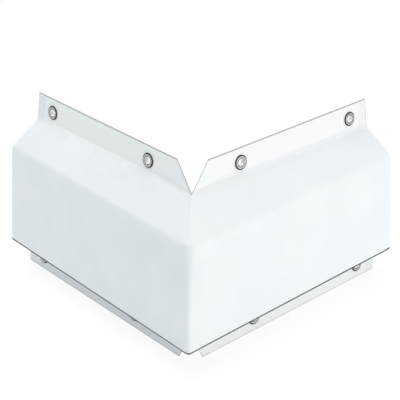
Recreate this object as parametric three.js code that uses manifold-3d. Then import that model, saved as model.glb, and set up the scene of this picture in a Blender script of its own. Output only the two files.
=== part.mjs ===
// Contour boat fender: a foam-filled vinyl pad that wraps a right-angled corner, such as a bow or a
// dock's corner. Two arms meet at a mitred ridge. Each arm is a padded face under a sloping bevel,
// with a flange above and below that carries the eyelets it is laced or screwed up by.
// Millimetres, +Z up. The right arm runs along +X, the left arm along +Y, and the ridge points
// to -X -Y. The origin is the middle of the bounding box's base.
import * as THREE from "three";
import { mergeVertices } from "three/addons/utils/BufferGeometryUtils.js";
import Module from "manifold-3d";

const wasm = await Module();
wasm.setup();

// Arms: every height is taken up from the lower flange's edge, which the fender stands on.
const height = 307;
const armLength = 385; // from the corner of the flanges' front planes to an arm's end
const flangeHeight = 42.3;
const undersideRise = 10;
const faceHeight = 175;
const depthAtBottom = 42.1; // padding in front of the flange's plane, along the ground
const depthAtTop = 50.3;
const lean = 0.14; // the back goes this far out for each millimetre down
const edgeDip = 8; // how much lower the face's top edge is at the ridge than at an arm's end
const rootDrop = 4; // how much lower the upper flange's root is at an arm's end than at the ridge

// Bends of the cover's sheet, and the rounding of the ridge where the arms meet
const faceTopBend = 12;
const faceBottomBend = 6;
const upperRootBend = 16; // the vinyl runs softly from the bevel into the upper flange
const lowerRootBend = 4;
const faceRidgeRound = 14;
const undersideRidgeRound = 10;
const rootRidgeRound = 3;
const bendSteps = 4;
const ridgeSteps = 8;
const armSteps = 4; // rings along each arm, because the bevel twists a little

// Sheets: vinyl in two layers at the flanges, with a seam's thickness between the pieces
const vinyl = 1;
const seam = 0.3;
const upperNotchHalfWidth = 22.9; // across the ridge, at the flange's edge
const lowerNotchHalfWidth = 18.4;
const cutPast = 10; // how far a cut's tool reaches past what it cuts
const pointMerge = 1e-4;

// Eyelets, a pressed grommet and its washer
const eyeletFromEnd = 41.5;
const eyeletFromCorner = 96.3;
const eyeletFromEdge = 22.6;
const eyeletRadius = 11.9;
const holeRadius = 5.55;
const eyeletSheet = 0.6;
const domeHeight = 1.9;
const curlRadius = 8.3;
const curlHeight = 0.8;
const washerSheet = 0.8;
const eyeletSides = 18;
const domeSteps = 5;
const curlSteps = 3;

const lowerRoot = flangeHeight;
const faceBottom = lowerRoot + undersideRise;
const faceTop = faceBottom + faceHeight;
const upperRoot = height - flangeHeight;
const leanAngle = Math.atan(lean);
const panelFront = vinyl + seam; // depths behind the flange's front face, square to it
const panelBack = panelFront + vinyl;
const coreBack = vinyl;
const coreInset = vinyl + seam;
const passRadius = holeRadius + eyeletSheet + seam;

// How far out the flange's front plane is at a height, or a plane that lies behind it
const flangeFront = (z, behind = 0) => lean * (height - z) - behind / Math.cos(leanAngle);

// Corners of an arm's section, up from the lower flange's edge, at a place along the arm that
// goes from 0 at its end to 1 at the ridge. out is the distance from the corner's own plane, bend
// the fold's radius, ridge the rounding where the arms meet.
function sectionCorners(place) {
  const corner = (out, z, bend, ridge) => ({ at: new THREE.Vector2(out, z), bend, ridge });
  const faceEdge = faceTop - edgeDip * place;
  const root = upperRoot - rootDrop * (1 - place);
  return [
    corner(flangeFront(0), 0, 0, rootRidgeRound),
    corner(flangeFront(lowerRoot), lowerRoot, lowerRootBend, rootRidgeRound),
    corner(flangeFront(faceBottom) + depthAtBottom, faceBottom, faceBottomBend, undersideRidgeRound),
    corner(flangeFront(faceTop) + depthAtTop, faceEdge, faceTopBend, faceRidgeRound),
    corner(flangeFront(root), root, upperRootBend, rootRidgeRound),
    corner(flangeFront(height), height, 0, rootRidgeRound),
  ];
}

// Points round one fold, at a depth under the outer face. A fold towards the pad has its centre
// inside, the two at the flanges' roots have it outside, and all depths share one centre.
function foldPoints(before, here, after, depth) {
  const into = here.at.clone().sub(before.at).normalize();
  const outOf = after.at.clone().sub(here.at).normalize();
  const turn = Math.asin(into.cross(outOf));
  const side = -Math.sign(turn);
  const outward = new THREE.Vector2(into.y, -into.x);
  const centre = here.at
    .clone()
    .addScaledVector(into, -here.bend * Math.tan(Math.abs(turn) / 2))
    .addScaledVector(outward, side * here.bend);
  const points = [];
  for (let i = 0; i <= bendSteps; i++) {
    const facing = outward.clone().rotateAround(new THREE.Vector2(), (turn * i) / bendSteps);
    const at = centre.clone().addScaledVector(facing, -side * (here.bend + side * depth));
    points.push({ at, ridge: here.ridge - depth * facing.x });
  }
  return points;
}

// The sheet's line at a depth under its outer face, from the lower edge to the upper one
function sheetLine(depth, place) {
  const corners = sectionCorners(place);
  const edge = (z) => ({
    at: new THREE.Vector2(flangeFront(z, depth), z),
    ridge: rootRidgeRound - depth,
  });
  const folds = corners
    .slice(1, -1)
    .flatMap((corner, i) => foldPoints(corners[i], corner, corners[i + 2], depth));
  return [edge(0), ...folds, edge(height)];
}

// The pad's section inside the sheet: its two rounded edges, closed by the plane of the back. It
// has a point where each root's fold begins, so that the foam and the cover twist alike.
function coreSection(depth, place) {
  const [lowerEdge, lower, bottom, top, upper, upperEdge] = sectionCorners(place);
  const onBack = (from, to) => {
    const along = to.at.clone().sub(from.at).normalize();
    const inset = from.at.clone().add(new THREE.Vector2(-along.y, along.x).multiplyScalar(depth));
    const gap = inset.x - flangeFront(inset.y, coreBack);
    const at = inset.addScaledVector(along, -gap / (along.x + lean * along.y));
    return { at, ridge: rootRidgeRound - depth };
  };
  return [
    onBack(lower, bottom),
    foldPoints(lowerEdge, lower, bottom, depth).at(-1),
    ...foldPoints(lower, bottom, top, depth),
    ...foldPoints(bottom, top, upper, depth),
    foldPoints(top, upper, upperEdge, depth)[0],
    onBack(top, upper),
  ];
}

// A section carried along both arms and round the ridge. Each point of it turns on its own
// radius, so the fold is crisp at the notch and full at the face.
function sweepArms(sectionAt, end) {
  const flat = sectionAt(0);
  const atEnd = flat.map(({ at }) => new THREE.Vector3(end, -at.x, at.y));
  const ridgeRing = (turned) => {
    const angle = -Math.PI / 2 - (Math.PI / 2) * turned;
    return sectionAt(1).map(({ at, ridge }) => {
      const centre = ridge - at.x;
      return new THREE.Vector3(centre + ridge * Math.cos(angle), centre + ridge * Math.sin(angle), at.y);
    });
  };
  const atRidge = ridgeRing(0);
  const mirrored = (ring) => ring.map(({ x, y, z }) => new THREE.Vector3(y, x, z));
  const arm = [];
  for (let i = 0; i < armSteps; i++) {
    arm.push(atEnd.map((point, k) => point.clone().lerp(atRidge[k], i / armSteps)));
  }
  const rings = [...arm];
  for (let i = 0; i <= ridgeSteps; i++) rings.push(ridgeRing(i / ridgeSteps));
  rings.push(...arm.toReversed().map(mirrored));

  // Each patch of the twisted bevel is split across its shorter way, so that the sheet's two
  // sides and the foam under them bend alike.
  const count = flat.length;
  const points = rings.flat();
  const index = [];
  for (let ring = 0; ring + 1 < rings.length; ring++) {
    for (let i = 0; i < count; i++) {
      const a = ring * count + i;
      const b = ring * count + ((i + 1) % count);
      const c = a + count;
      const d = b + count;
      const splitAtA = points[a].distanceTo(points[d]) < points[b].distanceTo(points[c]);
      index.push(...(splitAtA ? [a, b, d, a, d, c] : [a, b, c, b, d, c]));
    }
  }
  const last = (rings.length - 1) * count;
  const cap = THREE.ShapeUtils.triangulateShape(flat.map(({ at }) => at), []);
  for (const [a, b, c] of cap) index.push(a, c, b, last + a, last + b, last + c);

  return new THREE.BufferGeometry().setFromPoints(points).setIndex(index);
}

function toSolid(geometry) {
  const bare = new THREE.BufferGeometry();
  bare.setAttribute("position", geometry.getAttribute("position"));
  bare.setIndex(geometry.index);
  const merged = mergeVertices(bare, pointMerge);
  const vertProperties = merged.attributes.position.array;
  const triVerts = new Uint32Array(merged.index.array);
  return new wasm.Manifold(new wasm.Mesh({ numProp: 3, vertProperties, triVerts }));
}

function toGeometry(solid) {
  const { vertProperties, triVerts } = solid.getMesh();
  const geometry = new THREE.BufferGeometry();
  geometry.setAttribute("position", new THREE.BufferAttribute(vertProperties, 3));
  geometry.setIndex(new THREE.BufferAttribute(triVerts, 1));
  return geometry;
}

// Where the eyelets go: each has its place on a flange's front face and the way that face looks
const eyelets = [];
for (const arm of ["left", "right"]) {
  for (const [flange, z] of [["upper", height - eyeletFromEdge], ["lower", eyeletFromEdge]]) {
    for (const [spot, s] of [["inner", eyeletFromCorner], ["end", armLength - eyeletFromEnd]]) {
      const out = flangeFront(z);
      const right = arm === "right";
      const at = right ? new THREE.Vector3(s, -out, z) : new THREE.Vector3(-out, s, z);
      const level = -Math.cos(leanAngle);
      const facing = new THREE.Vector3(right ? 0 : level, right ? level : 0, Math.sin(leanAngle));
      eyelets.push({ name: `${flange}_${arm}_${spot}`, at, facing });
    }
  }
}

const yAxis = new THREE.Vector3(0, 1, 0);

// Cuts through both flange layers: a hole at each eyelet, and a V at the ridge
function flangeCuts() {
  const holes = eyelets.map(({ at, facing }) => {
    const bore = new THREE.CylinderGeometry(passRadius, passRadius, 2 * cutPast, eyeletSides);
    bore.applyQuaternion(new THREE.Quaternion().setFromUnitVectors(yAxis, facing));
    return toSolid(bore.translate(at.x, at.y, at.z));
  });
  // The V's wedge runs along the corner's diagonal, through both layers at any height.
  const deep = lean * height * Math.SQRT2 + cutPast;
  const notch = (root, edge, halfWidth) => {
    const reach = edge + cutPast * Math.sign(edge - root);
    const wide = (halfWidth * (reach - root)) / (edge - root);
    const vee = new THREE.Shape([
      new THREE.Vector2(0, root),
      new THREE.Vector2(wide, reach),
      new THREE.Vector2(-wide, reach),
    ]);
    const wedge = new THREE.ExtrudeGeometry(vee, { depth: 2 * deep, bevelEnabled: false });
    return toSolid(wedge.translate(0, 0, -deep).rotateX(Math.PI / 2).rotateZ(-Math.PI / 4));
  };
  return [
    ...holes,
    notch(upperRoot, height, upperNotchHalfWidth),
    notch(lowerRoot, 0, lowerNotchHalfWidth),
  ];
}

const cutAll = (solid, cuts) => cuts.reduce((left, cut) => left.subtract(cut), solid);

// The cover: one folded sheet with the front layer of both flanges
function outerCover(cuts) {
  const section = (place) => [...sheetLine(0, place), ...sheetLine(vinyl, place).reverse()];
  return toGeometry(cutAll(toSolid(sweepArms(section, armLength)), cuts));
}

// The panel that lies on the hull, with the rear layer of both flanges
function backPanel(cuts) {
  const face = (behind, z) => ({
    at: new THREE.Vector2(flangeFront(z, behind), z),
    ridge: rootRidgeRound - behind,
  });
  const heights = [0, lowerRoot, upperRoot, height];
  const section = () => [
    ...heights.map((z) => face(panelFront, z)),
    ...heights.toReversed().map((z) => face(panelBack, z)),
  ];
  return toGeometry(cutAll(toSolid(sweepArms(section, armLength)), cuts));
}

// The pad's two foam blocks, cut apart on the mitre
function foamCore(arm) {
  const both = toSolid(sweepArms((place) => coreSection(coreInset, place), armLength - vinyl - seam));
  const size = 2 * armLength;
  const otherSide = new THREE.BoxGeometry(size, 2 * size, size).translate(-size / 2 + seam / 2, 0, 0);
  otherSide.rotateZ(arm === "right" ? -Math.PI / 4 : (3 * Math.PI) / 4).translate(0, 0, height / 2);
  return toGeometry(both.subtract(toSolid(otherSide)));
}

// The panel that closes an arm's end
function endPanel(arm) {
  const shape = new THREE.Shape(coreSection(coreInset, 0).map(({ at }) => at));
  const panel = new THREE.ExtrudeGeometry(shape, { depth: vinyl, bevelEnabled: false });
  // The section lies in the plane of out and up, so it is stood on the arm's end.
  const out = arm === "right" ? new THREE.Vector3(0, -1, 0) : new THREE.Vector3(-1, 0, 0);
  const up = new THREE.Vector3(0, 0, 1);
  const along = new THREE.Vector3().crossVectors(out, up);
  const end = arm === "right" ? armLength : armLength - vinyl;
  panel.applyMatrix4(new THREE.Matrix4().makeBasis(out, up, along));
  return arm === "right" ? panel.translate(end, 0, 0) : panel.translate(0, end, 0);
}

// A sheet-metal ring's closed profile: its line, thickened to both sides
function thicken(line, sheet) {
  const side = (sign) =>
    line.map((point, i) => {
      const before = line[Math.max(i - 1, 0)];
      const after = line[Math.min(i + 1, line.length - 1)];
      const along = after.clone().sub(before).normalize();
      return point.clone().add(new THREE.Vector2(-along.y, along.x).multiplyScalar((sign * sheet) / 2));
    });
  const loop = [...side(-1), ...side(1).reverse()];
  return [...loop, loop[0].clone()];
}

// The grommet: a domed face, a barrel through the flange, and the curl that holds the washer.
// Its axis is Y, with the flange's front face at y = 0.
function grommetGeometry() {
  const half = eyeletSheet / 2;
  const barrel = holeRadius + half;
  const arch = (outer, y, rise, steps) => {
    const reach = (outer - half - barrel) / 2;
    return new THREE.EllipseCurve(barrel + reach, y, reach, rise, 0, Math.PI).getPoints(steps);
  };
  const domeFoot = seam + half;
  const curlTop = -(panelBack + seam + washerSheet + seam + half);
  const dome = arch(eyeletRadius, domeFoot, domeHeight - half - domeFoot, domeSteps);
  const curl = arch(curlRadius, curlTop, -curlHeight, curlSteps).reverse();
  return new THREE.LatheGeometry(thicken([...dome, ...curl], eyeletSheet), eyeletSides);
}

function washerGeometry() {
  const front = -(panelBack + seam);
  const profile = [
    new THREE.Vector2(passRadius, front - washerSheet),
    new THREE.Vector2(eyeletRadius, front - washerSheet),
    new THREE.Vector2(eyeletRadius, front),
    new THREE.Vector2(passRadius, front),
    new THREE.Vector2(passRadius, front - washerSheet),
  ];
  return new THREE.LatheGeometry(profile, eyeletSides);
}

const whiteVinyl = { color: 0xeef3f5, roughness: 0.42, metalness: 0 };
const paleFoam = { color: 0xd9dcdc, roughness: 0.95, metalness: 0 };
const brightSteel = { color: 0xc9ccce, roughness: 0.22, metalness: 1 };

function piece(name, geometry, finish) {
  const mesh = new THREE.Mesh(geometry, new THREE.MeshStandardMaterial(finish));
  mesh.name = name;
  return mesh;
}

const fender = new THREE.Group();
const cuts = flangeCuts();
fender.add(piece("outer_cover", outerCover(cuts), whiteVinyl));
fender.add(piece("back_panel", backPanel(cuts), whiteVinyl));
for (const arm of ["left", "right"]) {
  fender.add(piece(`foam_core_${arm}`, foamCore(arm), paleFoam));
  fender.add(piece(`end_panel_${arm}`, endPanel(arm), whiteVinyl));
}
for (const { name, at, facing } of eyelets) {
  const eyelet = new THREE.Group();
  eyelet.add(piece(`grommet_${name}`, grommetGeometry(), brightSteel));
  eyelet.add(piece(`washer_${name}`, washerGeometry(), brightSteel));
  eyelet.position.copy(at);
  eyelet.quaternion.setFromUnitVectors(yAxis, facing);
  fender.add(eyelet);
}

const middle = new THREE.Box3().setFromObject(fender).getCenter(new THREE.Vector3());
fender.position.set(-middle.x, -middle.y, 0);

export default fender;
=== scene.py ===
import math
import bmesh
import bpy
import numpy as np
from mathutils import Matrix, Vector, noise


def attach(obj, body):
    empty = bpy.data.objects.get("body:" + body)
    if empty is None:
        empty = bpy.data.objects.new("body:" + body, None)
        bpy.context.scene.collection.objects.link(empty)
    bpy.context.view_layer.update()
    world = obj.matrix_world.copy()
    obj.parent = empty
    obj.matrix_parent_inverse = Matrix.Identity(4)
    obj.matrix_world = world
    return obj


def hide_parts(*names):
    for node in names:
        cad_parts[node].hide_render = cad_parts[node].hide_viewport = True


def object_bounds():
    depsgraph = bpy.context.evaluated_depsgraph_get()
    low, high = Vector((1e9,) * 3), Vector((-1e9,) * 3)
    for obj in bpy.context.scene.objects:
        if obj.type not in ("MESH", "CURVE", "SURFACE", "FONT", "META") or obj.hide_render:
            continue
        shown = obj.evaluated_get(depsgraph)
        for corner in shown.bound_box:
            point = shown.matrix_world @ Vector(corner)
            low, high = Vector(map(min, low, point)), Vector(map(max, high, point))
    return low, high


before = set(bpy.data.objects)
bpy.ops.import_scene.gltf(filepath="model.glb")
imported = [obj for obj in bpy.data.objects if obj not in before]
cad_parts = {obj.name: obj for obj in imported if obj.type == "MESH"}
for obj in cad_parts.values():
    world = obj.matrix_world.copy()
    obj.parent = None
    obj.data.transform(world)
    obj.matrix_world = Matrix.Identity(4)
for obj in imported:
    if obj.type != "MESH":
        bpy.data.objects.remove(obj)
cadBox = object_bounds()
scene = bpy.context.scene
scene.view_settings.view_transform = "Standard"

# The fender's form, in metres. Heights run up from the edge that it stands on, and out is
# the distance from the corner's planes, which the flanges' top edges lie in.
form = {
    "height": cadBox[1].z,
    "armLength": 0.385,
    "flangeHeight": 0.0423,
    "undersideRise": 0.010,
    "faceHeight": 0.175,
    "depthAtBottom": 0.0421,
    "depthAtTop": 0.0503,
    "lean": 0.14,
    "edgeDip": 0.008,
    "footDip": 0.006,
    "rootDrop": 0.004,
    "faceTopBend": 0.012,
    "faceBottomBend": 0.006,
    "upperRootBend": 0.016,
    "lowerRootBend": 0.004,
    "faceRidgeRound": 0.014,
    "undersideRidgeRound": 0.004,
    "rootRidgeRound": 0.003,
    "vinyl": 0.001,
    "seam": 0.0003,
    "upperNotchHalfWidth": 0.0229,
    "lowerNotchHalfWidth": 0.0184,
}
lowerRoot = form["flangeHeight"]
faceBottom = lowerRoot + form["undersideRise"]
faceTop = faceBottom + form["faceHeight"]
upperRoot = form["height"] - form["flangeHeight"]
leanAngle = math.atan(form["lean"])
corner = cadBox[1].x - form["armLength"]  # where the corner's planes are, along X and along Y
panelFront = form["vinyl"] + form["seam"]
panelBack = panelFront + form["vinyl"]

eyeletPlaces = {
    "fromEnd": 0.0415,
    "fromCorner": 0.0963,
    "fromEdge": 0.0226,
}


# From 0 to 1 between two values, with soft ends
def ease(value, low, high):
    t = np.clip((value - low) / (high - low), 0, 1)
    return t * t * (3 - 2 * t)


def ridgeOf(value, middle, width):
    return np.exp(-(((value - middle) / width) ** 2))


# How far out the flange's front is at a height, or a plane that lies behind it
def flangeOut(z, behind=0.0):
    return form["lean"] * (form["height"] - z) - behind / math.cos(leanAngle)


# Every object of the fender rides on its one body, in place of its solid
def addPiece(name, mesh, nodes, creaseAngle=40):
    mesh.shade_smooth()
    mesh.set_sharp_from_angle(angle=math.radians(creaseAngle))
    piece = bpy.data.objects.new(name, mesh)
    scene.collection.objects.link(piece)
    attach(piece, "root")
    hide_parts(*nodes)
    return piece


def meshFrom(name, points, faces):
    mesh = bpy.data.meshes.new(name)
    mesh.from_pydata([tuple(p) for p in points], [], [tuple(f) for f in faces])
    mesh.update()
    return mesh


# Camera, fitted to the photo's corners and eyelets
view = {
    "target": (-0.14538, -0.16235, 0.2524),
    "azimuth": -42.06,
    "elevation": 27.41,
    "distance": 1.737,
    "lens": 105.3,
    "sensor": 36,
}


def makeCamera():
    data = bpy.data.cameras.new("camera")
    data.lens = view["lens"]
    data.sensor_width = view["sensor"]
    camera = bpy.data.objects.new("camera", data)
    scene.collection.objects.link(camera)
    turn, rise = math.radians(view["azimuth"]), math.radians(view["elevation"])
    level = math.cos(rise)
    back = Vector((math.sin(turn) * level, -math.cos(turn) * level, math.sin(rise)))
    camera.location = Vector(view["target"]) + back * view["distance"]
    camera.rotation_euler = (-back).to_track_quat("-Z", "Y").to_euler()
    scene.camera = camera


makeCamera()
print("camera set")


# Materials
def newMaterial(name):
    material = bpy.data.materials.new(name)
    material.use_nodes = True
    tree = material.node_tree
    return material, tree, tree.nodes["Principled BSDF"]


# Sums and masks in a material, from values and other nodes' outputs
def compute(tree, operation, *values):
    node = tree.nodes.new("ShaderNodeMath")
    node.operation = operation
    for socket, value in zip(node.inputs, values):
        if isinstance(value, bpy.types.NodeSocket):
            tree.links.new(value, socket)
        else:
            socket.default_value = value
    return node.outputs[0]


def ranged(tree, value, low, high, start=0.0, end=1.0):
    node = tree.nodes.new("ShaderNodeMapRange")
    node.interpolation_type = "SMOOTHSTEP"
    tree.links.new(value, node.inputs["Value"])
    for socket, number in zip(list(node.inputs)[1:5], (low, high, start, end)):
        socket.default_value = number
    return node.outputs["Result"]


def blend(tree, share, first, second):
    node = tree.nodes.new("ShaderNodeMix")
    node.data_type = "RGBA"
    tree.links.new(share, node.inputs[0])
    for socket, color in zip((node.inputs[6], node.inputs[7]), (first, second)):
        if isinstance(color, bpy.types.NodeSocket):
            tree.links.new(color, socket)
        else:
            socket.default_value = color
    return node.outputs[2]


def objectPoint(tree):
    coords = tree.nodes.new("ShaderNodeTexCoord")
    split = tree.nodes.new("ShaderNodeSeparateXYZ")
    tree.links.new(coords.outputs["Object"], split.inputs[0])
    return coords.outputs["Object"], *split.outputs


# Soft blotches of one size, from 0 to 1, for the unevenness of vinyl, cut edges and steel
blotchLook = {
    "scale": 40,
    "detail": 3,
    "spread": (0.3, 0.7),  # the noise's own values that become 0 and 1
}


def makeBlotches():
    group = bpy.data.node_groups.new("blotches", "ShaderNodeTree")
    scale = group.interface.new_socket("Scale", in_out="INPUT", socket_type="NodeSocketFloat")
    scale.default_value = blotchLook["scale"]
    group.interface.new_socket("Value", in_out="OUTPUT", socket_type="NodeSocketFloat")
    entry = group.nodes.new("NodeGroupInput")
    leave = group.nodes.new("NodeGroupOutput")
    coords = group.nodes.new("ShaderNodeTexCoord")
    noiseNode = group.nodes.new("ShaderNodeTexNoise")
    noiseNode.inputs["Detail"].default_value = blotchLook["detail"]
    group.links.new(coords.outputs["Object"], noiseNode.inputs["Vector"])
    group.links.new(entry.outputs["Scale"], noiseNode.inputs["Scale"])
    spread = ranged(group, noiseNode.outputs[0], *blotchLook["spread"])
    group.links.new(spread, leave.inputs["Value"])
    return group


blotchGroup = makeBlotches()


def blotches(tree, scale):
    node = tree.nodes.new("ShaderNodeGroup")
    node.node_tree = blotchGroup
    node.inputs["Scale"].default_value = scale
    return node.outputs["Value"]


def addBump(tree, shader, height, distance, strength=1.0, under=None):
    bump = tree.nodes.new("ShaderNodeBump")
    bump.inputs["Strength"].default_value = strength
    bump.inputs["Distance"].default_value = distance
    tree.links.new(height, bump.inputs["Height"])
    if under:
        tree.links.new(under, bump.inputs["Normal"])
    tree.links.new(bump.outputs["Normal"], shader.inputs["Normal"])
    return bump.outputs["Normal"]


# Satin marine vinyl: fine grain, welded lines at the flanges' roots, a dark line of painted shade
# round the foot, ribs over the ends' hems and a ring pressed in round each eyelet. A pair says
# where an effect starts and where it is full, in metres.
vinylLook = {
    "color": (0.86, 0.90, 0.92, 1),
    "blotchColor": (0.83, 0.875, 0.90, 1),
    "blotchScale": 14,
    "rough": (0.36, 0.46),
    "roughScale": 55,
    # painted light: the flanges' paler colour stands in for light showing through the thin sheets
    "flangeLitColor": (0.905, 0.93, 0.942, 1),
    "flangeFrom": (-0.001, 0.003),
    # a grey line along each cut edge: partly the edge's own grey, partly painted shade
    "edgeColor": (0.56, 0.59, 0.61, 1),
    "edgeLine": (0.0006, 0.0016),
    # painted shade: a dark line round the pad's foot, standing in for the shade above the lower
    # flange
    "footShadeColor": (0.07, 0.076, 0.08, 1),
    "footRough": 0.5,
    "footShadeTop": (0.0050, 0.0062),
    "footShadeBase": (-0.0018, -0.0012),
    "footShadeBack": (0.0065, 0.008),
    "footShadeEnd": (0.0006, 0.0012),
    "grainScale": 1300,
    "grainDepth": 0.00004,
    "grainStrength": 0.5,
    "weldColor": (0.74, 0.78, 0.80, 1),
    "weldShade": 0.6,
    "weldAt": (0.0022, 0.0048, 0.0074),
    "weldWidth": 0.0007,
    "weldDepth": 0.0002,
    "weldPolish": 0.08,
    "weldFade": (0.05, 0.20),
    "weldLeft": 0.2,  # what is left of the lines past the fade
    "weldGather": (-0.005, 0.06),
    "weldGathered": 0.45,  # how close together the lines run at the notch
    "ribAt": (0.0038, 0.0081, 0.0124, 0.0167),
    "ribWidth": 0.0010,
    "ribDepth": 0.0004,
    "pressRadius": 0.0138,
    "pressWidth": 0.0016,
    "pressDepth": 0.0004,
}


# A bell over each place along a value, as wide as is said
def bells(tree, value, places, width):
    total = None
    for place in places:
        off = compute(tree, "DIVIDE", compute(tree, "SUBTRACT", value, place), width)
        square = compute(tree, "MULTIPLY", off, off)
        bell = compute(tree, "EXPONENT", compute(tree, "MULTIPLY", square, -1))
        total = bell if total is None else compute(tree, "ADD", total, bell)
    return total


# How far the nearest cut edge is: the flange's long edge, the arm's end or the V
def edgeDistance(tree, x, y, fromTip, fromEnd, onUpper):
    tall = form["flangeHeight"]
    upperSlope, lowerSlope = form["upperNotchHalfWidth"] / tall, form["lowerNotchHalfWidth"] / tall
    across = compute(tree, "ABSOLUTE", compute(tree, "SUBTRACT", x, y))
    slope = compute(tree, "MULTIPLY", onUpper, upperSlope - lowerSlope)
    slope = compute(tree, "ADD", slope, lowerSlope)
    fromV = compute(tree, "MULTIPLY", across, 1 / math.sqrt(2))
    fromV = compute(tree, "SUBTRACT", fromV, compute(tree, "MULTIPLY", fromTip, slope))
    fromEdge = compute(tree, "SUBTRACT", tall, fromTip)
    return compute(tree, "MINIMUM", compute(tree, "MINIMUM", fromEdge, fromEnd), fromV)


# Painted shade: a dark line round the pad's foot, standing in for the shade between the foot and
# the lower flange behind it. It is drawn on the fold alone, not on the back sheet or the end panels
# at the same height.
def paintedFootShadeMask(tree, x, y, z, fromEnd):
    look = vinylLook
    footOut = flangeOut(faceBottom) + form["depthAtBottom"]
    dip = compute(tree, "MULTIPLY", fromEnd, form["footDip"] / (form["armLength"] + footOut))
    aboveFoot = compute(tree, "ADD", compute(tree, "SUBTRACT", z, faceBottom), dip)
    out = compute(tree, "SUBTRACT", corner, compute(tree, "MINIMUM", x, y))
    behindFoot = compute(tree, "SUBTRACT", footOut, out)
    mask = ranged(tree, aboveFoot, *look["footShadeTop"], 1, 0)
    mask = compute(tree, "MULTIPLY", mask, ranged(tree, aboveFoot, *look["footShadeBase"]))
    mask = compute(tree, "MULTIPLY", mask, ranged(tree, behindFoot, *look["footShadeBack"], 1, 0))
    return compute(tree, "MULTIPLY", mask, ranged(tree, fromEnd, *look["footShadeEnd"]))


# How far the nearest eyelet's middle is. An arm's two eyelets mirror each other, and so do
# those of its two flanges.
def eyeletDistance(tree, along, fromMiddle):
    first = eyeletPlaces["fromCorner"]
    last = form["armLength"] - eyeletPlaces["fromEnd"]
    height = form["height"] / 2 - eyeletPlaces["fromEdge"]
    sideways = compute(tree, "ABSOLUTE", compute(tree, "SUBTRACT", along, (first + last) / 2))
    sideways = compute(tree, "SUBTRACT", sideways, (last - first) / 2)
    upward = compute(tree, "SUBTRACT", fromMiddle, height)
    upward = compute(tree, "DIVIDE", upward, math.cos(leanAngle))
    squares = [compute(tree, "POWER", part, 2) for part in (sideways, upward)]
    return compute(tree, "SQRT", compute(tree, "ADD", *squares))


def makeVinyl():
    look = vinylLook
    material, tree, shader = newMaterial("whiteVinyl")
    point, x, y, z = objectPoint(tree)
    along = compute(tree, "SUBTRACT", compute(tree, "MAXIMUM", x, y), corner)
    fromEnd = compute(tree, "SUBTRACT", form["armLength"], along)

    # The two flanges mirror each other about the middle, but the upper one's root drops
    # towards an arm's end.
    middle = form["height"] / 2
    fromMiddle = compute(tree, "ABSOLUTE", compute(tree, "SUBTRACT", z, middle))
    fromTip = compute(tree, "SUBTRACT", fromMiddle, middle - form["flangeHeight"])
    onUpper = compute(tree, "GREATER_THAN", z, middle)
    drop = compute(tree, "MULTIPLY", along, form["rootDrop"] / form["armLength"])
    aboveRoot = compute(tree, "ADD", fromTip, compute(tree, "MULTIPLY", drop, onUpper))
    onFlange = ranged(tree, aboveRoot, *look["flangeFrom"])

    # A cut edge shows as a fine grey line, partly the sealed edge's own grey and partly painted
    # shade along the edge.
    toEdge = edgeDistance(tree, x, y, fromTip, fromEnd, onUpper)
    edgeLine = ranged(tree, toEdge, *look["edgeLine"], 1, 0)
    edgeLine = compute(tree, "MULTIPLY", edgeLine, onFlange)
    # Painted shade: a dark line round the pad's foot.
    paintedFootShade = paintedFootShadeMask(tree, x, y, z, fromEnd)

    # Towards the notch the welded lines close up and grow stronger.
    gather = ranged(tree, along, *look["weldGather"], look["weldGathered"], 1)
    weldReach = compute(tree, "DIVIDE", aboveRoot, gather)
    welds = bells(tree, weldReach, look["weldAt"], look["weldWidth"])
    welds = compute(tree, "MULTIPLY", welds, onFlange)
    fade = ranged(tree, along, *look["weldFade"], 1, look["weldLeft"])
    welds = compute(tree, "MULTIPLY", welds, fade)
    ribs = bells(tree, fromEnd, look["ribAt"], look["ribWidth"])
    ribs = compute(tree, "MULTIPLY", ribs, onFlange)
    toEyelet = eyeletDistance(tree, along, fromMiddle)
    press = bells(tree, toEyelet, (look["pressRadius"],), look["pressWidth"])

    broad = blotches(tree, look["blotchScale"])
    color = blend(tree, broad, look["blotchColor"], look["color"])
    # Painted light: the flanges are paler, standing in for light that shows through them.
    color = blend(tree, onFlange, color, look["flangeLitColor"])
    lines = compute(tree, "MULTIPLY", compute(tree, "ADD", welds, ribs), look["weldShade"])
    color = blend(tree, lines, color, look["weldColor"])
    color = blend(tree, edgeLine, color, look["edgeColor"])
    color = blend(tree, paintedFootShade, color, look["footShadeColor"])
    tree.links.new(color, shader.inputs["Base Color"])

    rough = ranged(tree, blotches(tree, look["roughScale"]), 0, 1, *look["rough"])
    polish = compute(tree, "MULTIPLY", welds, look["weldPolish"])
    rough = compute(tree, "SUBTRACT", rough, polish)
    rough = compute(tree, "ADD", rough, compute(tree, "MULTIPLY", paintedFootShade, look["footRough"]))
    tree.links.new(rough, shader.inputs["Roughness"])

    grain = tree.nodes.new("ShaderNodeTexVoronoi")
    grain.feature = "SMOOTH_F1"
    grain.inputs["Scale"].default_value = look["grainScale"]
    tree.links.new(point, grain.inputs["Vector"])
    depth = look["grainDepth"]
    fine = addBump(tree, shader, grain.outputs["Distance"], depth, look["grainStrength"])
    relief = compute(tree, "MULTIPLY", welds, -look["weldDepth"])
    relief = compute(tree, "ADD", relief, compute(tree, "MULTIPLY", ribs, look["ribDepth"]))
    ring = compute(tree, "MULTIPLY", press, look["pressDepth"])
    relief = compute(tree, "SUBTRACT", relief, ring)
    addBump(tree, shader, relief, 1.0, 1.0, fine)
    return material


# The vinyl's cut edge, where the cloth that backs it shows as threads between the two skins. Its
# greys are darker than the vinyl's own, as painted shade along the sheets' edges.
edgeLook = {
    "skin": (0.50, 0.52, 0.53, 1),
    "cloth": (0.34, 0.355, 0.365, 1),
    "rough": 0.85,
    "threadScale": 1600,
    "threadDepth": 0.0001,
    "threadStrength": 0.6,
}


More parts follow.
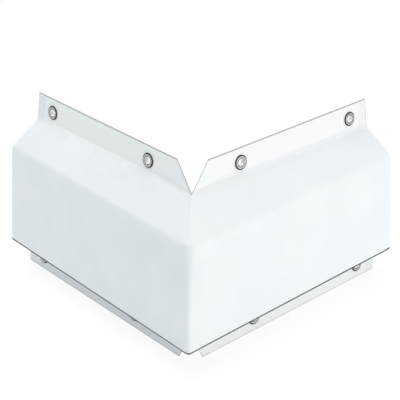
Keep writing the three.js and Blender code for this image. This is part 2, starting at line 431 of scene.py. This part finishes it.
def makeCutEdge():
    look = edgeLook
    material, tree, shader = newMaterial("cutEdge")
    shader.inputs["Roughness"].default_value = look["rough"]
    threads = blotches(tree, look["threadScale"])
    # Painted shade: the edge's greys are darker than the white vinyl.
    color = blend(tree, threads, look["cloth"], look["skin"])
    tree.links.new(color, shader.inputs["Base Color"])
    addBump(tree, shader, threads, look["threadDepth"], look["threadStrength"])
    return material


# Polished steel: its own bright colour on the crown, with painted dark reflections and painted
# shade in the throat and under the rim
steelLook = {
    "bright": (0.80, 0.81, 0.82, 1),
    "paintedDarkReflection": (0.045, 0.047, 0.052, 1),
    "throatAt": 0.0073,
    "throatWidth": 0.0010,
    "rim": (0.0092, 0.0098),
    "wobbleScale": 500,
    "wander": 0.0004,  # how far the blotches move those painted rings in and out
    "rough": (0.42, 0.14),  # where the rings are painted dark, and on the crown
    "scratchScale": 2500,
    "scratchTwist": 2,
    "scratchRough": 0.12,
    "scratchDepth": 0.00001,
    "scratchStrength": 0.4,
}


def makeSteel():
    look = steelLook
    material, tree, shader = newMaterial("brightSteel")
    shader.inputs["Metallic"].default_value = 1
    point, x, y, z = objectPoint(tree)
    squares = [compute(tree, "POWER", part, 2) for part in (x, y)]
    radius = compute(tree, "SQRT", compute(tree, "ADD", *squares))
    wobble = compute(tree, "SUBTRACT", blotches(tree, look["wobbleScale"]), 0.5)
    radius = compute(tree, "ADD", radius, compute(tree, "MULTIPLY", wobble, look["wander"]))
    # Painted dark reflections and shade: the throat and the rim's outer slope are painted dark.
    throat = bells(tree, radius, (look["throatAt"],), look["throatWidth"])
    crown = compute(tree, "SUBTRACT", ranged(tree, radius, *look["rim"], 1, 0), throat)
    tree.links.new(blend(tree, crown, look["paintedDarkReflection"], look["bright"]), shader.inputs["Base Color"])

    scratch = tree.nodes.new("ShaderNodeTexNoise")
    scratch.inputs["Scale"].default_value = look["scratchScale"]
    scratch.inputs["Distortion"].default_value = look["scratchTwist"]
    tree.links.new(point, scratch.inputs["Vector"])
    rough = ranged(tree, crown, 0, 1, *look["rough"])
    worn = compute(tree, "MULTIPLY", scratch.outputs[0], look["scratchRough"])
    tree.links.new(compute(tree, "ADD", rough, worn), shader.inputs["Roughness"])
    addBump(tree, shader, scratch.outputs[0], look["scratchDepth"], look["scratchStrength"])
    return material


foamLook = {
    "cell": (0.62, 0.63, 0.63, 1),
    "wall": (0.80, 0.81, 0.81, 1),
    "wallFrom": (0.1, 0.7),
    "rough": 0.9,
    "cellScale": 700,
    "cellDepth": 0.0005,
    "cellStrength": 0.7,
}


def makeFoam():
    look = foamLook
    material, tree, shader = newMaterial("closedCellFoam")
    shader.inputs["Roughness"].default_value = look["rough"]
    point = objectPoint(tree)[0]
    cells = tree.nodes.new("ShaderNodeTexVoronoi")
    cells.inputs["Scale"].default_value = look["cellScale"]
    tree.links.new(point, cells.inputs["Vector"])
    wall = ranged(tree, cells.outputs["Distance"], *look["wallFrom"])
    color = blend(tree, wall, look["cell"], look["wall"])
    tree.links.new(color, shader.inputs["Base Color"])
    addBump(tree, shader, wall, look["cellDepth"], look["cellStrength"])
    return material


whiteVinyl = makeVinyl()
cutEdge = makeCutEdge()
brightSteel = makeSteel()
closedCellFoam = makeFoam()
print("materials made")


# Corners of an arm's section, up from the lower flange's edge, at a place along the arm that
# goes from 0 at its end to 1 at the ridge: each one's distance out and height, its bend's
# radius, and the radius that it turns on round the ridge
def sectionCorners(place):
    foot = faceBottom - form["footDip"] * place  # the foam fills out the pad's foot at the ridge
    edge = faceTop - form["edgeDip"] * place
    root = upperRoot - form["rootDrop"] * (1 - place)
    footOut = flangeOut(faceBottom) + form["depthAtBottom"]
    edgeOut = flangeOut(faceTop) + form["depthAtTop"]
    rootRound = form["rootRidgeRound"]
    corners = [
        (flangeOut(0), 0, 0, rootRound),
        (flangeOut(lowerRoot), lowerRoot, form["lowerRootBend"], rootRound),
        (footOut, foot, form["faceBottomBend"], form["undersideRidgeRound"]),
        (edgeOut, edge, form["faceTopBend"], form["faceRidgeRound"]),
        (flangeOut(root), root, form["upperRootBend"], rootRound),
        (flangeOut(form["height"]), form["height"], 0, rootRound),
    ]
    return [{"at": np.array([out, z]), "bend": b, "ridge": r} for out, z, b, r in corners]


def unit(vector):
    return vector / np.linalg.norm(vector)


# Points round one fold. A fold towards the pad has its centre inside, and the two at the
# flanges' roots have it outside.
def foldPoints(before, here, after, steps):
    into = unit(here["at"] - before["at"])
    outOf = unit(after["at"] - here["at"])
    turn = math.asin(into[0] * outOf[1] - into[1] * outOf[0])
    side = -math.copysign(1, turn)
    outward = np.array([into[1], -into[0]])
    start = here["at"] - into * here["bend"] * math.tan(abs(turn) / 2)
    centre = start + outward * side * here["bend"]
    points = []
    for i in range(steps + 1):
        c, s = math.cos(turn * i / steps), math.sin(turn * i / steps)
        facing = np.array([c * outward[0] - s * outward[1], s * outward[0] + c * outward[1]])
        points.append((*(centre - facing * side * here["bend"]), here["ridge"]))
    return points


# The sheet's line with even steps along its straights: rows of out, height and ridge rounding
def sheetLine(place, straightSteps, foldSteps):
    corners = sectionCorners(place)
    first, last = corners[0], corners[-1]
    stops = [(*first["at"], first["ridge"])]
    rows = []
    for i, steps in enumerate(foldSteps):
        fold = foldPoints(corners[i], corners[i + 1], corners[i + 2], steps)
        rows += straight(stops[-1], fold[0], straightSteps[i])
        rows += fold[:-1]
        stops.append(fold[-1])
    rows += straight(stops[-1], (*last["at"], last["ridge"]), straightSteps[-1])
    return np.array(rows + [(*last["at"], last["ridge"])])


def straight(start, end, steps):
    start, end = np.array(start), np.array(end)
    return [tuple(start + (end - start) * i / steps) for i in range(steps)]


# A section carried along both arms and round the ridge, from the right arm's end to the left
# one's. Each of its points turns on its own radius, so the fold is crisp at the notch and
# full at the face.
def sweepArms(atEnd, atRidge, columns, ridgeSteps):
    length = form["armLength"]
    out, z, ridge = atRidge.T
    start = np.stack([ridge - out, -out, z], 1)
    end = np.stack([np.full(len(atEnd), length), -atEnd[:, 0], atEnd[:, 1]], 1)
    rings = [end + (start - end) * share for share in columns[:-1]]
    for i in range(ridgeSteps + 1):
        angle = -math.pi / 2 * (1 + i / ridgeSteps)
        across = ridge * math.cos(angle)
        along = ridge * math.sin(angle)
        rings.append(np.stack([ridge - out + across, ridge - out + along, z], 1))
    rings += [ring[:, [1, 0, 2]] for ring in rings[: len(columns) - 1][::-1]]
    return np.stack(rings, 1)


def gridNormals(grid):
    up = np.gradient(grid, axis=0)
    along = np.gradient(grid, axis=1)
    cross = np.cross(up, along)
    return cross / np.linalg.norm(cross, axis=2, keepdims=True)


def gridMesh(name, grid):
    rows, columns = grid.shape[:2]
    index = np.arange(rows * columns).reshape(rows, columns)
    a, b = index[:-1, :-1], index[1:, :-1]
    c, d = index[1:, 1:], index[:-1, 1:]
    faces = np.stack([a, b, c, d], 2).reshape(-1, 4)
    return meshFrom(name, grid.reshape(-1, 3), faces.tolist())


# Shares of the way from an arm's end to the ridge: fine steps over the hem at the end and
# beside the ridge, and even ones between
columnLook = {
    "hem": 0.045,
    "side": 0.95,
}


def columnShares(hemSteps, middleSteps, sideSteps):
    hem, side = columnLook["hem"], columnLook["side"]
    parts = [
        np.linspace(0, hem, hemSteps, endpoint=False),
        np.linspace(hem, side, middleSteps, endpoint=False),
        np.linspace(side, 1, sideSteps + 1),
    ]
    return np.concatenate(parts)


# Each eyelet's place on a flange's front, and the way that it looks
def listEyelets():
    eyelets = []
    places = eyeletPlaces
    for arm in ("left", "right"):
        for flange in ("upper", "lower"):
            z = form["height"] - places["fromEdge"] if flange == "upper" else places["fromEdge"]
            spots = {"inner": places["fromCorner"], "end": form["armLength"] - places["fromEnd"]}
            for spot, along in spots.items():
                at = Vector((along, -flangeOut(z), z))
                facing = Vector((0, -math.cos(leanAngle), math.sin(leanAngle)))
                if arm == "left":
                    at, facing = Vector((at.y, at.x, at.z)), Vector((facing.y, facing.x, facing.z))
                at += Vector((corner, corner, 0))
                eyelets.append({"name": f"{flange}_{arm}_{spot}", "at": at, "facing": facing})
    return eyelets


eyelets = listEyelets()


# The fine sheet's steps
coverLook = {
    "straightSteps": (24, 14, 46, 26, 28),
    "foldSteps": (5, 6, 8, 10),
    "hemSteps": 14,
    "middleSteps": 110,
    "sideSteps": 8,
    "ridgeSteps": 12,
}

# The relief over the sheet's plain form, outward in metres: the web of vinyl that bridges the
# upper root, an uneven surface, puckers under the flange and the bevel's welded ridge. Each
# pucker has its distance from the corner, and they take their depths, widths and slants in turn.
reliefLook = {
    "bridge": 0.0016,
    "bridgeBelow": 0.028,
    "bridgeAbove": 0.007,
    "bridgeFromCorner": 0.10,
    "bridgeFromEnd": 0.06,
    "uneven": 0.0005,
    "unevenSize": 0.09,
    "unevenLift": 0.5,
    "unevenEdge": 0.02,
    "hem": 0.045,
    "puckers": {
        "right": (0.172, 0.186, 0.200, 0.217, 0.240, 0.285),
        "left": (0.150, 0.205, 0.214, 0.287, 0.298),
    },
    "puckerDepths": (0.00098, 0.0014),
    "puckerWidths": (0.00416, 0.00624),
    "puckerSlants": (0.14, 0.245, 0.35),
    "puckerWidening": 0.0312,
    "puckerTop": (-0.004, 0.006),
    "puckerFull": 0.01125,
    "puckerLength": 0.045,
    "valleyAt": 1.6,
    "valleyDepth": 0.7,
    "seamHeight": 0.0007,
    "seamWidth": 0.0016,
    "seamGroove": 0.0005,
    "seamFoot": (0.004, 0.02),
    "seamTop": (0.002, 0.008),
    "grooveAt": 0.0048,
}


# How far along the sheet each row is, up from the lower edge, and the middles of its folds
def rowReach(line, look):
    steps = np.linalg.norm(np.diff(line[:, :2], axis=0), axis=1)
    reach = np.concatenate([[0], np.cumsum(steps)])
    ends = np.cumsum(look["straightSteps"][:-1]) + np.cumsum((0,) + look["foldSteps"][:-1])
    return reach, reach[ends + np.array(look["foldSteps"]) // 2]


# Even noise over a grid's points, in blotches of one size
def unevenness(grid, size):
    values = [noise.noise(Vector(point) / size) for point in grid.reshape(-1, 3)]
    return np.array(values).reshape(grid.shape[:2])


def coverRelief(grid, reach, folds):
    look = reliefLook
    bottom, top, upRoot = folds[1:]
    rows = reach[:, None]
    along = np.maximum(grid[..., 0], grid[..., 1])  # from the corner, on either arm
    fromEnd = form["armLength"] - along
    above, below = rows - upRoot, upRoot - rows

    web = (1 - ease(above, 0, look["bridgeAbove"])) * (1 - ease(below, 0, look["bridgeBelow"]))
    web = web * ease(along, 0, look["bridgeFromCorner"]) * ease(fromEnd, 0, look["bridgeFromEnd"])
    relief = look["bridge"] * web

    edge = look["unevenEdge"]
    onPad = ease(rows, bottom, bottom + edge) * ease(below, 0, edge) * ease(fromEnd, 0, look["hem"])
    uneven = unevenness(grid, look["unevenSize"]) + look["unevenLift"]
    relief = relief + look["uneven"] * uneven * onPad

    fade = ease(below, *look["puckerTop"])
    fade = fade * (1 - ease(below, look["puckerFull"], look["puckerLength"]))
    onRight = grid[..., 0] > grid[..., 1]
    for arm, places in look["puckers"].items():
        onArm, lean = (onRight, -1) if arm == "right" else (~onRight, 1)
        for i, place in enumerate(places):
            middle = place + look["puckerSlants"][i % 3] * lean * below
            width = look["puckerWidths"][i % 2] + look["puckerWidening"] * below
            fold = ridgeOf(along, middle, width)
            valley = look["valleyDepth"] * ridgeOf(along, middle + look["valleyAt"] * width, width)
            relief = relief + look["puckerDepths"][i % 2] * (fold - valley) * fade * onArm

    across = np.abs(grid[..., 0] - grid[..., 1]) / math.sqrt(2)
    foot = [top + more for more in look["seamFoot"]]
    onBevel = ease(rows, *foot) * ease(below, *look["seamTop"])
    seam = look["seamHeight"] * ridgeOf(across, 0, look["seamWidth"])
    groove = look["seamGroove"] * ridgeOf(across, look["grooveAt"], look["seamWidth"])
    return relief + (seam - groove) * onBevel


# The swell of vinyl drawn over foam. A coarse copy of the sheet is held along its flanges and at
# its ends, and swells as cloth with a little slack.
swellLook = {
    "straightSteps": (5, 5, 26, 9, 6),
    "foldSteps": (2, 2, 4, 4),
    "armSteps": 64,
    "ridgeSteps": 4,
    "frames": 20,
    "quality": 6,
    "mass": 0.3,
    "stiffness": 30,
    "shearStiffness": 12,
    "bendingStiffness": 1.0,
    "pressure": 1.5,
    "slack": 0.006,
    "cap": 0.0018,  # the most that it stands out
    "smoothing": 8,
}


def swellCloth(mesh, held):
    look = swellLook
    sheet = bpy.data.objects.new("swell", mesh)
    scene.collection.objects.link(sheet)
    group = sheet.vertex_groups.new(name="held")
    group.add([int(i) for i in held], 1.0, "REPLACE")
    cloth = sheet.modifiers.new("cloth", "CLOTH")
    settings = cloth.settings
    settings.quality = look["quality"]
    settings.mass = look["mass"]
    settings.tension_stiffness = look["stiffness"]
    settings.compression_stiffness = look["stiffness"]
    settings.shear_stiffness = look["shearStiffness"]
    settings.bending_stiffness = look["bendingStiffness"]
    settings.vertex_group_mass = "held"
    settings.use_pressure = True
    settings.uniform_pressure_force = look["pressure"]
    settings.shrink_min = -look["slack"]
    settings.shrink_max = -look["slack"]
    settings.effector_weights.gravity = 0
    cloth.point_cache.frame_start = 1
    cloth.point_cache.frame_end = look["frames"]
    for i in range(1, look["frames"] + 1):
        scene.frame_set(i)
    swollen = sheet.evaluated_get(bpy.context.evaluated_depsgraph_get()).data
    points = np.empty(len(swollen.vertices) * 3)
    swollen.vertices.foreach_get("co", points)
    bpy.data.objects.remove(sheet)
    bpy.data.meshes.remove(mesh)
    scene.frame_set(1)
    return points.reshape(-1, 3)


# Where each column is: 0 to 1 on the right arm, 1 to 2 round the ridge, 2 to 3 on the left arm
def columnPlaces(columns, ridgeSteps):
    ridge = 1 + np.arange(ridgeSteps + 1) / ridgeSteps
    return np.concatenate([columns[:-1], ridge, 3 - columns[:-1][::-1]])


def swellRelief(reach, places):
    look = swellLook
    atEnd = sheetLine(0, look["straightSteps"], look["foldSteps"])
    atRidge = sheetLine(1, look["straightSteps"], look["foldSteps"])
    columns = np.linspace(0, 1, look["armSteps"] + 1)
    grid = sweepArms(atEnd, atRidge, columns, look["ridgeSteps"])
    coarseReach, folds = rowReach(atEnd, look)
    onFlange = (coarseReach <= folds[0]) | (coarseReach >= folds[3])
    held = np.zeros(grid.shape[:2], bool)
    held[onFlange] = True
    held[:, [0, -1]] = True
    swollen = swellCloth(gridMesh("swell", grid), np.flatnonzero(held))
    moved = ((swollen.reshape(grid.shape) - grid) * gridNormals(grid)).sum(2)
    print("cloth moved by up to", round(float(np.abs(moved).max()) * 1000, 2), "mm")
    moved = np.maximum(moved, 0)  # the foam keeps it from sinking
    moved = look["cap"] * np.tanh(moved / look["cap"])
    coarsePlaces = columnPlaces(columns, look["ridgeSteps"])
    tall = np.stack([np.interp(reach, coarseReach, column) for column in moved.T], 1)
    fine = np.stack([np.interp(places, coarsePlaces, row) for row in tall])
    for _ in range(look["smoothing"]):
        fine[1:-1] = (fine[:-2] + 2 * fine[1:-1] + fine[2:]) / 4
        fine[:, 1:-1] = (fine[:, :-2] + 2 * fine[:, 1:-1] + fine[:, 2:]) / 4
    return fine


# Tools that cut through the flanges: a bore for each eyelet and a wedge for each V
cutTools = {
    "boreSides": 32,
    "boreRadius": 0.00645,
    "boreLength": 0.02,
    "wedgeLength": 0.2,
    "wedgePast": 0.01,
}


def makeCutters():
    cutters = []
    for eyelet in eyelets:
        sides, radius = cutTools["boreSides"], cutTools["boreRadius"]
        half = cutTools["boreLength"] / 2
        turn = eyelet["facing"].to_track_quat("Z", "Y").to_matrix().to_4x4()
        place = Matrix.Translation(eyelet["at"]) @ turn
        angles = [2 * math.pi * i / sides for i in range(sides)]
        ring = [(radius * math.cos(angle), radius * math.sin(angle)) for angle in angles]
        points = [place @ Vector((x, y, z)) for z in (-half, half) for x, y in ring]
        faces = [tuple(range(sides))[::-1], tuple(range(sides, 2 * sides))]
        faces += [(i, (i + 1) % sides, sides + (i + 1) % sides, sides + i) for i in range(sides)]
        cutters.append(meshFrom("bore", points, faces))
    notches = [
        (upperRoot, form["height"], form["upperNotchHalfWidth"]),
        (lowerRoot, 0, form["lowerNotchHalfWidth"]),
    ]
    along = Vector((1, 1, 0)).normalized() * cutTools["wedgeLength"]
    across = Vector((1, -1, 0)).normalized()
    base = Vector((corner, corner, 0))
    for root, edge, halfWidth in notches:
        past = edge + math.copysign(cutTools["wedgePast"], edge - root)
        wide = halfWidth * (past - root) / (edge - root)
        vee = [(0, root), (wide, past), (-wide, past)]
        front = [base + across * w + Vector((0, 0, z)) for w, z in vee]
        points = [point + along * side for side in (-1, 1) for point in front]
        faces = [(0, 1, 2), (5, 4, 3), (0, 3, 4, 1), (1, 4, 5, 2), (2, 5, 3, 0)]
        cutters.append(meshFrom("wedge", points, faces))
    tool = bpy.data.objects.new("cutters", joinMeshes("cutters", cutters))
    tool.data.materials.append(cutEdge)
    tool.data.materials.append(cutEdge)  # the second slot is the sheets' cut edge too
    tool.data.polygons.foreach_set("material_index", [1] * len(tool.data.polygons))
    scene.collection.objects.link(tool)
    return tool


def joinMeshes(name, meshes):
    points, faces = [], []
    for mesh in meshes:
        offset = len(points)
        points += [v.co.copy() for v in mesh.vertices]
        faces += [[offset + i for i in p.vertices] for p in mesh.polygons]
        bpy.data.meshes.remove(mesh)
    joined = meshFrom(name, points, faces)
    shell = bmesh.new()
    shell.from_mesh(joined)
    bmesh.ops.recalc_face_normals(shell, faces=shell.faces)
    shell.to_mesh(joined)
    shell.free()
    return joined


# A sheet's outer side gets its thickness inward, and the bores and notches are cut
def makeSheet(name, mesh, thickness, cutter):
    sheet = bpy.data.objects.new(name, mesh)
    scene.collection.objects.link(sheet)
    mesh.materials.append(whiteVinyl)
    mesh.materials.append(cutEdge)
    solid = sheet.modifiers.new("thickness", "SOLIDIFY")
    solid.thickness = thickness
    solid.offset = -1
    solid.use_rim = True
    solid.material_offset_rim = 1
    if cutter:
        cut = sheet.modifiers.new("cuts", "BOOLEAN")
        cut.operation = "DIFFERENCE"
        cut.solver = "MANIFOLD"
        cut.object = cutter
    graph = bpy.context.evaluated_depsgraph_get()
    baked = bpy.data.meshes.new_from_object(sheet.evaluated_get(graph), depsgraph=graph)
    bpy.data.objects.remove(sheet)
    return baked


def makeCover(cutter):
    look = coverLook
    atEnd = sheetLine(0, look["straightSteps"], look["foldSteps"])
    atRidge = sheetLine(1, look["straightSteps"], look["foldSteps"])
    columns = columnShares(look["hemSteps"], look["middleSteps"], look["sideSteps"])
    grid = sweepArms(atEnd, atRidge, columns, look["ridgeSteps"])
    reach, folds = rowReach(atEnd, look)
    relief = coverRelief(grid, reach, folds)
    relief = relief + swellRelief(reach, columnPlaces(columns, look["ridgeSteps"]))
    grid = grid + gridNormals(grid) * relief[..., None]
    grid[..., :2] += corner
    mesh = makeSheet("cover", gridMesh("cover", grid), form["vinyl"], cutter)
    cover = addPiece("cover", mesh, ["outer_cover"])
    print("cover made with", len(mesh.polygons), "faces")


# The sheet that lies on the hull: flat on its flanges, and a little swollen between them by
# the foam
backLook = {
    "steps": (28, 70, 28),
    "hemSteps": 20,
    "middleSteps": 60,
    "sideSteps": 6,
    "ridgeSteps": 6,
    "swell": 0.0012,
    "uneven": 0.0005,
    "unevenSize": 0.09,
    "edge": 0.03,
}


def makeBackSheet(cutter):
    look = backLook
    heights = [0, lowerRoot, upperRoot, form["height"]]
    turn = form["rootRidgeRound"] - panelBack
    stops = [(flangeOut(z, panelBack), z, turn) for z in heights]
    rows = sum((straight(a, b, n) for a, b, n in zip(stops, stops[1:], look["steps"])), [])
    line = np.array(rows + [stops[-1]])
    columns = columnShares(look["hemSteps"], look["middleSteps"], look["sideSteps"])
    grid = sweepArms(line, line, columns, look["ridgeSteps"])
    z = grid[..., 2]
    fromEnd = form["armLength"] - np.maximum(grid[..., 0], grid[..., 1])
    onPad = ease(z - lowerRoot, 0, look["edge"]) * ease(upperRoot - z, 0, look["edge"])
    onPad = onPad * ease(fromEnd, 0, look["edge"])
    relief = look["swell"] + look["uneven"] * unevenness(grid, look["unevenSize"])
    relief = relief * onPad
    grid = (grid - gridNormals(grid) * relief[..., None])[::-1]
    grid[..., :2] += corner
    mesh = makeSheet("backSheet", gridMesh("backSheet", grid), form["vinyl"], cutter)
    addPiece("backSheet", mesh, ["back_panel"])
    print("back sheet made with", len(mesh.polygons), "faces")


# The panel that closes an arm's end: the pad's section, crowned by the foam behind it and
# welded down round its edge. Its rings shrink towards the middle, and each stands out by its
# own swell.
endLook = {
    "shrink": (1, 0.985, 0.965, 0.94, 0.88, 0.78, 0.64, 0.48, 0.32, 0.16),
    "swell": (-0.0006, -0.0002, 0.0001, 0.0003, 0.0008, 0.0012, 0.0015, 0.0017, 0.0018, 0.0019),
    "stepsPerHeight": 30,
    "inset": 0.0013,
}


def padSection():
    look = endLook
    corners = sectionCorners(0)
    lower, upper = corners[1]["at"], corners[4]["at"]
    lowFold = foldPoints(*corners[1:4], coverLook["foldSteps"][1])
    topFold = foldPoints(*corners[2:5], coverLook["foldSteps"][2])
    outline = [lower, *[np.array(p[:2]) for p in lowFold + topFold], upper]
    middle = sum(outline) / len(outline)
    points = []
    for a, b in zip(outline, outline[1:] + outline[:1]):
        steps = max(1, round(np.linalg.norm(b - a) / form["height"] * look["stepsPerHeight"]))
        points += [a + (b - a) * k / steps for k in range(steps)]
    points = np.array(points)
    room = np.linalg.norm(points - middle, axis=1, keepdims=True)
    return points - (points - middle) / room * look["inset"], middle


def makeEndPanel(arm):
    look = endLook
    outline, middle = padSection()
    count = len(outline)
    points = []
    for share, rise in zip(look["shrink"], look["swell"]):
        for out, z in middle + (outline - middle) * share:
            points.append((form["armLength"] + rise, -out, z))
    points.append((form["armLength"] + look["swell"][-1], -middle[0], middle[1]))
    faces = []
    for ring in range(len(look["shrink"]) - 1):
        for i in range(count):
            a, b = ring * count + i, ring * count + (i + 1) % count
            faces.append((a, a + count, b + count, b))
    last = (len(look["shrink"]) - 1) * count
    faces += [(last + i, len(points) - 1, last + (i + 1) % count) for i in range(count)]
    points = [(x + corner, y + corner, z) for x, y, z in points]
    if arm == "left":
        points = [(y, x, z) for x, y, z in points]
        faces = [face[::-1] for face in faces]
    mesh = makeSheet("end", meshFrom("end", points, faces), form["vinyl"], None)
    addPiece(f"end_{arm}", mesh, [f"end_panel_{arm}"])


# Pressed eyelets: a domed rim, a barrel through the sheets, and a curl over a washer behind
# them. The sizes are the solids' own.
eyeletLook = {
    "radius": 0.0119,
    "hole": 0.00555,
    "sheet": 0.0006,
    "dome": 0.0019,
    "foot": 0.0006,
    "curlRadius": 0.0083,
    "curl": 0.0008,
    "washer": 0.0008,
    "washerSoft": 0.00024,  # off the washers' edges, which are square on the solids
    "fullness": 0.62,  # the power of the dome's arch: less than 1 makes it fuller
    "steps": 18,
    "sides": 64,
    "crease": 50,
}


def lathe(name, profile):
    sides, count = eyeletLook["sides"], len(profile)
    points, faces = [], []
    for i in range(sides):
        c, s = math.cos(2 * math.pi * i / sides), math.sin(2 * math.pi * i / sides)
        points += [(r * c, r * s, h) for r, h in profile]
    for i in range(sides):
        here, beside = i * count, (i + 1) % sides * count
        for j in range(count):
            after = (j + 1) % count
            faces.append((here + j, here + after, beside + after, beside + j))
    return meshFrom(name, points, faces)


# A closed profile of a sheet's thickness about a line of radius and height
def thicken(line, sheet):
    along = np.gradient(line, axis=0)
    along /= np.linalg.norm(along, axis=1, keepdims=True)
    aside = np.stack([along[:, 1], -along[:, 0]], 1) * sheet / 2
    return np.concatenate([line - aside, (line + aside)[::-1]])


def grommetProfile():
    look = eyeletLook
    half = look["sheet"] / 2
    barrel = look["hole"] + half

    def arch(outer, foot, rise, power):
        turn = np.linspace(0, math.pi, look["steps"])
        reach = (outer - half - barrel) / 2
        height = foot + rise * np.sin(turn) ** power
        return np.stack([barrel + reach * (1 + np.cos(turn)), height], 1)

    rise = look["dome"] - look["foot"] - half
    dome = arch(look["radius"], look["foot"], rise, look["fullness"])
    curlTop = -(panelBack + form["seam"] * 2 + look["washer"] + half)
    curl = arch(look["curlRadius"], curlTop, -look["curl"], 1)[::-1]
    return thicken(np.concatenate([dome, curl]), look["sheet"])


def washerProfile():
    look = eyeletLook
    front = -(panelBack + form["seam"])
    back = front - look["washer"]
    inner, outer = look["hole"] + look["sheet"] + form["seam"], look["radius"]
    soft = look["washerSoft"]
    return [
        (inner, front - soft),
        (inner + soft, front),
        (outer - soft, front),
        (outer, front - soft),
        (outer, back + soft),
        (outer - soft, back),
        (inner + soft, back),
        (inner, back + soft),
    ]


def makeEyelets():
    profiles = {"grommet": grommetProfile(), "washer": washerProfile()}
    crease = eyeletLook["crease"]
    for eyelet in eyelets:
        turn = eyelet["facing"].to_track_quat("Z", "Y").to_matrix().to_4x4()
        for kind, profile in profiles.items():
            name = f"{kind}_{eyelet['name']}"
            mesh = lathe(name, profile)
            mesh.materials.append(brightSteel)
            ring = addPiece("polished_" + name, mesh, [name], crease)
            ring.matrix_world = Matrix.Translation(eyelet["at"]) @ turn
    print("eyelets made")


cutters = makeCutters()
makeCover(cutters)
makeBackSheet(cutters)
bpy.data.objects.remove(cutters)
for arm in ("left", "right"):
    makeEndPanel(arm)
    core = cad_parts[f"foam_core_{arm}"]
    core.data.materials.clear()
    core.data.materials.append(closedCellFoam)
makeEyelets()


# Stage: floor and soft light. The sky has one look of its own, past the floor's edge and in
# mirrored rays, and another that lights the fender.
stageLook = {
    "floor": (0.97, 0.975, 0.98, 1),
    "floorRough": 0.9,
    "floorSize": 12,
    "white": 0.8,  # how much of the floor's look is plain white, and the rest holds the shadow
    "glow": 1.05,
    "seenSkyColor": (0.8, 0.8, 0.8, 1),
    "seenSkyStrength": 1,
    "skyColor": (0.96, 0.985, 1, 1),
    "skyStrength": 0.54,
}


# The rays that show the background itself: seen straight, mirrored or through something clear
def seenRays(tree):
    path = tree.nodes.new("ShaderNodeLightPath").outputs
    seen = compute(tree, "ADD", path["Is Glossy Ray"], path["Is Transmission Ray"])
    seen = compute(tree, "ADD", path["Is Camera Ray"], seen)
    return compute(tree, "MINIMUM", seen, 1)


def makeStage():
    material, tree, shader = newMaterial("paleFloor")
    shader.inputs["Base Color"].default_value = stageLook["floor"]
    shader.inputs["Roughness"].default_value = stageLook["floorRough"]
    nodes, links = tree.nodes, tree.links
    glow = nodes.new("ShaderNodeEmission")
    glow.inputs["Strength"].default_value = stageLook["glow"]
    mix = nodes.new("ShaderNodeMixShader")
    links.new(compute(tree, "MULTIPLY", seenRays(tree), stageLook["white"]), mix.inputs[0])
    links.new(shader.outputs[0], mix.inputs[1])
    links.new(glow.outputs[0], mix.inputs[2])
    links.new(mix.outputs[0], nodes["Material Output"].inputs[0])
    half = stageLook["floorSize"] / 2
    corners = [(-half, -half, 0), (half, -half, 0), (half, half, 0), (-half, half, 0)]
    floor = bpy.data.objects.new("floor", meshFrom("floor", corners, [(0, 1, 2, 3)]))
    floor.data.materials.append(material)
    scene.collection.objects.link(floor)


# Lamps: each one's place, width and height, power and tint
lamps = {
    "top": ((-0.35, 0.0, 2.3), (2.2, 2.2), 21.5, (1, 0.98, 0.98)),
    "front": ((0.4, -2.1, 0.14), (1.2, 0.24), 12.5, (1, 0.975, 0.945)),
    "side": ((-0.9, 0.9, 1.5), (1.0, 1.0), 2.6, (1, 0.93, 0.86)),
    "low": ((-2.1, 0.4, 0.14), (1.2, 0.24), 1.5, (0.6, 0.88, 1)),
    "rear": ((1.2, 1.2, 1.6), (1.4, 1.4), 5.0, (1, 1, 1)),
}
lampsFace = (0, 0, 0.12)


def makeLamps():
    for name, (place, size, watts, tint) in lamps.items():
        data = bpy.data.lights.new(name, "AREA")
        data.energy = watts
        data.shape = "RECTANGLE"
        data.size, data.size_y = size
        data.color = tint
        light = bpy.data.objects.new(name, data)
        light.location = place
        toward = Vector(lampsFace) - light.location
        light.rotation_euler = toward.to_track_quat("-Z", "Y").to_euler()
        scene.collection.objects.link(light)


def makeWorld():
    world = bpy.data.worlds.new("studio")
    scene.world = world
    world.use_nodes = True
    nodes, links = world.node_tree.nodes, world.node_tree.links
    nodes.clear()
    seen = nodes.new("ShaderNodeBackground")
    seen.inputs["Color"].default_value = stageLook["seenSkyColor"]
    seen.inputs["Strength"].default_value = stageLook["seenSkyStrength"]
    soft = nodes.new("ShaderNodeBackground")
    soft.inputs["Color"].default_value = stageLook["skyColor"]
    soft.inputs["Strength"].default_value = stageLook["skyStrength"]
    mix = nodes.new("ShaderNodeMixShader")
    out = nodes.new("ShaderNodeOutputWorld")
    links.new(seenRays(world.node_tree), mix.inputs[0])
    links.new(soft.outputs[0], mix.inputs[1])
    links.new(seen.outputs[0], mix.inputs[2])
    links.new(mix.outputs[0], out.inputs[0])


makeStage()
makeLamps()
makeWorld()
print("stage and light set")
